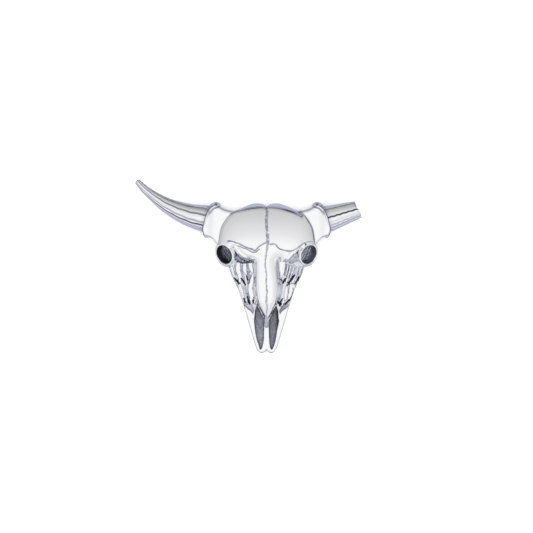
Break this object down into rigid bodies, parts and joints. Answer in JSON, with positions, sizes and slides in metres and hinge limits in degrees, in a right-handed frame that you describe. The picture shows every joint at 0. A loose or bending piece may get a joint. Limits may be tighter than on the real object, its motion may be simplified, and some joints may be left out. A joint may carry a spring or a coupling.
{
  "type": "cast metal cow skull ornament",
  "caption": "Small solid cow skull of polished cast metal with a flat back, face up, with round eye sockets, sunken nasal slots and fluted horns, the left one whole and the right one broken short.",
  "frame": {"origin": "point of the flat back on the skull's midline, behind the root of the nose bridge", "axes": "+X to the viewer's right along the line of the horns, +Y to the top of the head, +Z out of the face; the part lies on its flat back in the plane z = 0"},
  "size_m": [0.0499, 0.0383, 0.0092],
  "materials": {
    "polished_face": "mirror-polished silver-coloured metal, darkened in its grooves",
    "polished_nose": "mirror-polished silver-coloured metal, darkened in its grooves",
    "polished_muzzle": "mirror-polished silver-coloured metal with dark, fine-grained nasal slots",
    "carved_cheeks": "bright carved ridges over blackened pits",
    "polished_bosses": "mirror-polished silver-coloured metal",
    "eye_sockets": "polished rolled rim over a blackened, fine-grained floor",
    "fluted_horns": "polished silver-coloured metal with darkened flutes and fine lengthwise scratches"
  },
  "bodies": {
    "root": {"forehead": "polished_face", "nose_bridge": "polished_nose", "muzzle": "polished_muzzle", "cheek_left": "carved_cheeks", "cheek_right": "carved_cheeks", "horn_base_left": "polished_bosses", "horn_base_right": "polished_bosses", "eye_socket_left": "eye_sockets", "eye_socket_right": "eye_sockets", "horn_left": "fluted_horns", "horn_right": "fluted_horns"}
  },
  "joints": []
}
